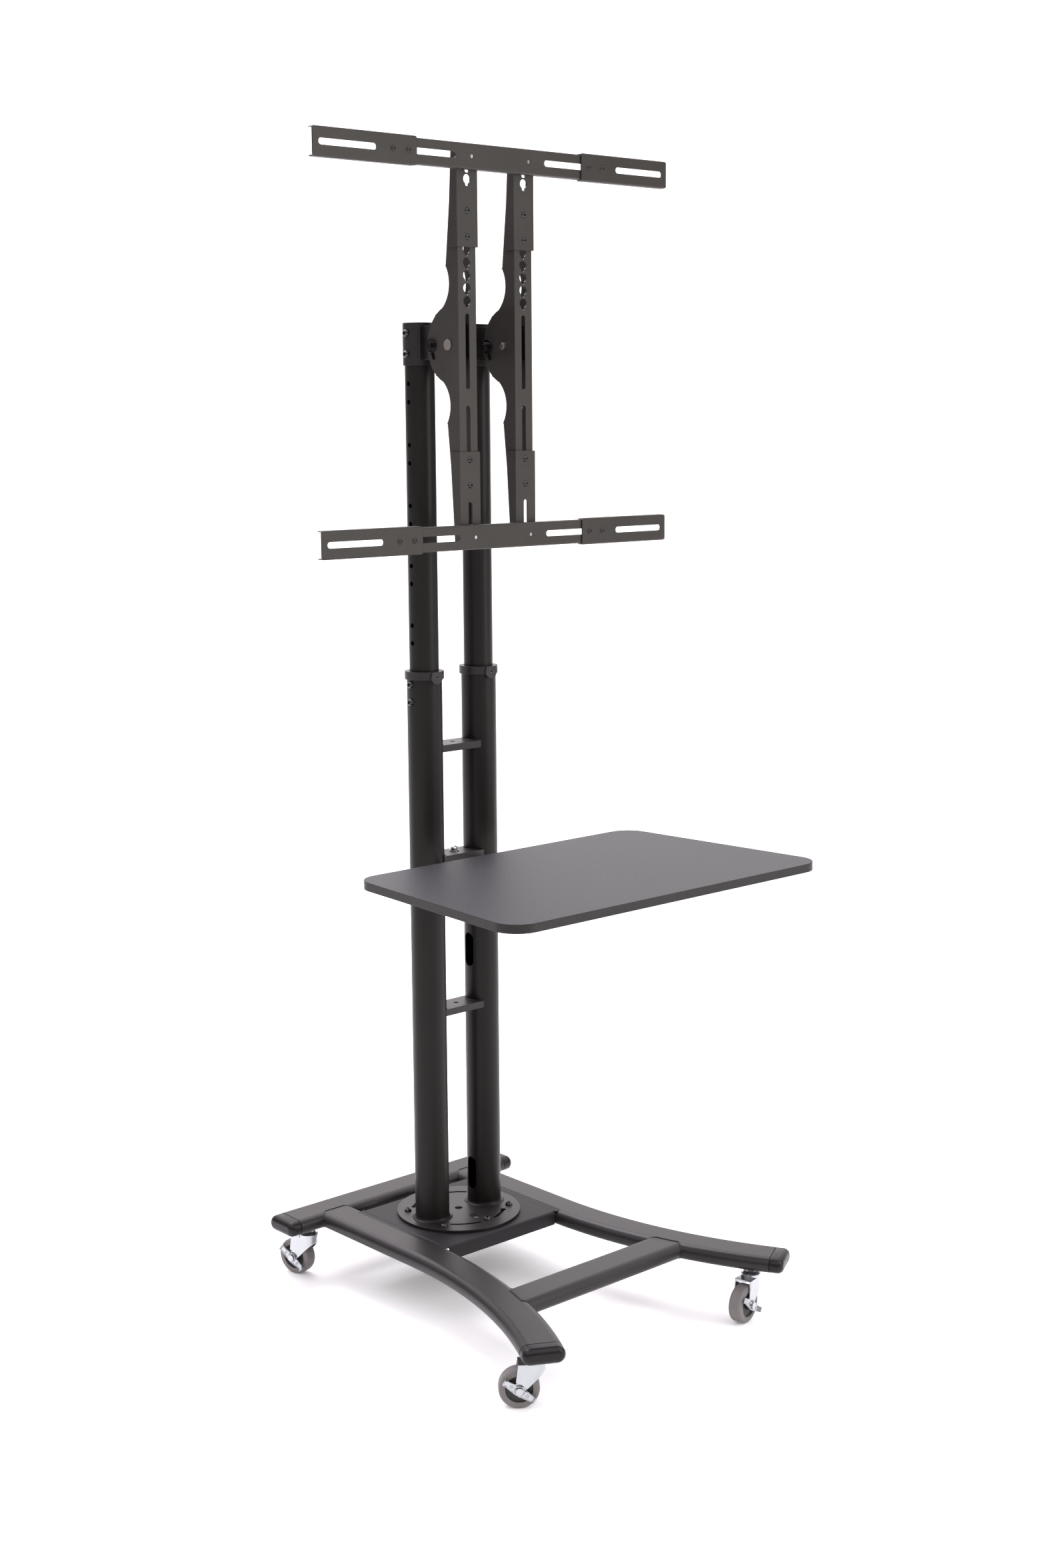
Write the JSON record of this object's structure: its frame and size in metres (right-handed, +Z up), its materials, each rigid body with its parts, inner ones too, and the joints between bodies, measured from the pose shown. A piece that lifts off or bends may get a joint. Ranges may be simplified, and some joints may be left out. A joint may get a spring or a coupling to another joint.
{
  "type": "tv floor stand",
  "caption": "Rolling stand for a flat screen: flat oval base on swivel casters, twin telescoping mast, shelf, and a tilting frame with sliding slotted rails.",
  "frame": {"origin": "On the floor, below the middle of the whole stand's bounding box", "axes": "+Z up, -Y the side the screen faces, +X to the right for someone who stands in front and looks at the mast along +Y"},
  "size_m": [0.75, 0.7858, 1.9502],
  "materials": {
    "powder_coat": "fine-textured charcoal powder coat",
    "frame_coat": "fine-textured charcoal powder coat on sheet",
    "cap_plastic": "semi-gloss black",
    "bush_plastic": "matte black",
    "black_steel": "black oxide",
    "zinc": "bright zinc plating",
    "grey_tyre": "grey soft tyre",
    "hub_plastic": "matte black",
    "laminate": "fine-textured dark blue-grey laminate on fibreboard"
  },
  "bodies": {
    "base": {"rear_crossbar": "powder_coat", "left_leg": "powder_coat", "right_leg": "powder_coat", "front_cross_tube": "powder_coat", "centre_plate": "powder_coat", "end_caps": "cap_plastic", "mast_disc": "powder_coat", "disc_screws": "black_steel", "left_lower_tube": "powder_coat", "right_lower_tube": "powder_coat", "lower_strut": "powder_coat", "middle_strut": "powder_coat", "upper_strut": "powder_coat", "mast_collars": "powder_coat", "mast_screws": "black_steel", "guide_bushes": "bush_plastic", "shelf_bracket": "powder_coat", "shelf_board": "laminate", "shelf_fasteners": "zinc", "caster_stems": "zinc"},
    "mast": {"left_upper_tube": "powder_coat", "right_upper_tube": "powder_coat", "tube_glides": "bush_plastic", "head_sleeve": "powder_coat", "head_brackets": "powder_coat", "head_screws": "black_steel", "tilt_bolts": "black_steel", "pivot_bolts": "zinc"},
    "screen_frame": {"left_arm": "frame_coat", "right_arm": "frame_coat", "upper_left_arm_extension": "frame_coat", "upper_right_arm_extension": "frame_coat", "upper_extension_screws": "black_steel", "upper_rail": "frame_coat", "upper_rail_screws": "zinc"},
    "lower_carrier": {"lower_left_arm_extension": "frame_coat", "lower_right_arm_extension": "frame_coat", "lower_extension_screws": "black_steel", "lower_rail": "frame_coat", "lower_rail_screws": "zinc"},
    "upper_left_slide_out": {"upper_left_rail_extension": "frame_coat"},
    "upper_right_slide_out": {"upper_right_rail_extension": "frame_coat"},
    "lower_left_slide_out": {"lower_left_rail_extension": "frame_coat"},
    "lower_right_slide_out": {"lower_right_rail_extension": "frame_coat"},
    "rear_left_caster": {"rear_left_fork": "zinc"},
    "rear_left_wheel": {"rear_left_tyre": "grey_tyre", "rear_left_hub": "hub_plastic"},
    "rear_left_lever": {"rear_left_brake": "zinc"},
    "rear_right_caster": {"rear_right_fork": "zinc"},
    "rear_right_wheel": {"rear_right_tyre": "grey_tyre", "rear_right_hub": "hub_plastic"},
    "rear_right_lever": {"rear_right_brake": "zinc"},
    "front_left_caster": {"front_left_fork": "zinc"},
    "front_left_wheel": {"front_left_tyre": "grey_tyre", "front_left_hub": "hub_plastic"},
    "front_left_lever": {"front_left_brake": "zinc"},
    "front_right_caster": {"front_right_fork": "zinc"},
    "front_right_wheel": {"front_right_tyre": "grey_tyre", "front_right_hub": "hub_plastic"},
    "front_right_lever": {"front_right_brake": "zinc"}
  },
  "joints": [
    {"name": "mast_height", "type": "slide", "parent": "base", "child": "mast", "axis": [0, 0, 1], "range_m": [-0.5, 0]},
    {"name": "screen_tilt", "type": "hinge", "parent": "mast", "child": "screen_frame", "pos_m": [0, 0.05554, 1.6362], "axis": [1, 0, 0], "range_deg": [0, 12]},
    {"name": "lower_carrier_slide", "type": "slide", "parent": "screen_frame", "child": "lower_carrier", "axis": [0, 0, 1], "range_m": [0, 0.06]},
    {"name": "upper_left_extension_slide", "type": "slide", "parent": "screen_frame", "child": "upper_left_slide_out", "axis": [1, 0, 0], "range_m": [0, 0.09]},
    {"name": "upper_right_extension_slide", "type": "slide", "parent": "screen_frame", "child": "upper_right_slide_out", "axis": [-1, 0, 0], "range_m": [0, 0.09]},
    {"name": "lower_left_extension_slide", "type": "slide", "parent": "lower_carrier", "child": "lower_left_slide_out", "axis": [1, 0, 0], "range_m": [0, 0.09]},
    {"name": "lower_right_extension_slide", "type": "slide", "parent": "lower_carrier", "child": "lower_right_slide_out", "axis": [-1, 0, 0], "range_m": [0, 0.09]},
    {"name": "rear_left_swivel", "type": "hinge", "parent": "base", "child": "rear_left_caster", "pos_m": [-0.2, 0.33454, 0.08], "axis": [0, 0, 1], "continuous": true},
    {"name": "rear_left_wheel_spin", "type": "hinge", "parent": "rear_left_caster", "child": "rear_left_wheel", "pos_m": [-0.20717, 0.35953, 0.0325], "axis": [-0.9613, -0.2756, 0], "continuous": true},
    {"name": "rear_left_brake_lever", "type": "hinge", "parent": "rear_left_caster", "child": "rear_left_lever", "pos_m": [-0.20717, 0.35953, 0.0325], "axis": [-0.9613, -0.2756, 0], "range_deg": [0, 40]},
    {"name": "rear_right_swivel", "type": "hinge", "parent": "base", "child": "rear_right_caster", "pos_m": [0.2, 0.33454, 0.08], "axis": [0, 0, 1], "continuous": true},
    {"name": "rear_right_wheel_spin", "type": "hinge", "parent": "rear_right_caster", "child": "rear_right_wheel", "pos_m": [0.21221, 0.35749, 0.0325], "axis": [-0.8829, 0.4695, 0], "continuous": true},
    {"name": "rear_right_brake_lever", "type": "hinge", "parent": "rear_right_caster", "child": "rear_right_lever", "pos_m": [0.21221, 0.35749, 0.0325], "axis": [-0.8829, 0.4695, 0], "range_deg": [0, 40]},
    {"name": "front_left_swivel", "type": "hinge", "parent": "base", "child": "front_left_caster", "pos_m": [-0.2484, -0.32564, 0.08], "axis": [0, 0, 1], "continuous": true},
    {"name": "front_left_wheel_spin", "type": "hinge", "parent": "front_left_caster", "child": "front_left_wheel", "pos_m": [-0.26861, -0.30928, 0.0325], "axis": [-0.6293, -0.7771, 0], "continuous": true},
    {"name": "front_left_brake_lever", "type": "hinge", "parent": "front_left_caster", "child": "front_left_lever", "pos_m": [-0.26861, -0.30928, 0.0325], "axis": [-0.6293, -0.7771, 0], "range_deg": [0, 40]},
    {"name": "front_right_swivel", "type": "hinge", "parent": "base", "child": "front_right_caster", "pos_m": [0.2484, -0.32564, 0.08], "axis": [0, 0, 1], "continuous": true},
    {"name": "front_right_wheel_spin", "type": "hinge", "parent": "front_right_caster", "child": "front_right_wheel", "pos_m": [0.22307, -0.33149, 0.0325], "axis": [0.225, -0.9744, 0], "continuous": true},
    {"name": "front_right_brake_lever", "type": "hinge", "parent": "front_right_caster", "child": "front_right_lever", "pos_m": [0.22307, -0.33149, 0.0325], "axis": [0.225, -0.9744, 0], "range_deg": [0, 40]}
  ]
}
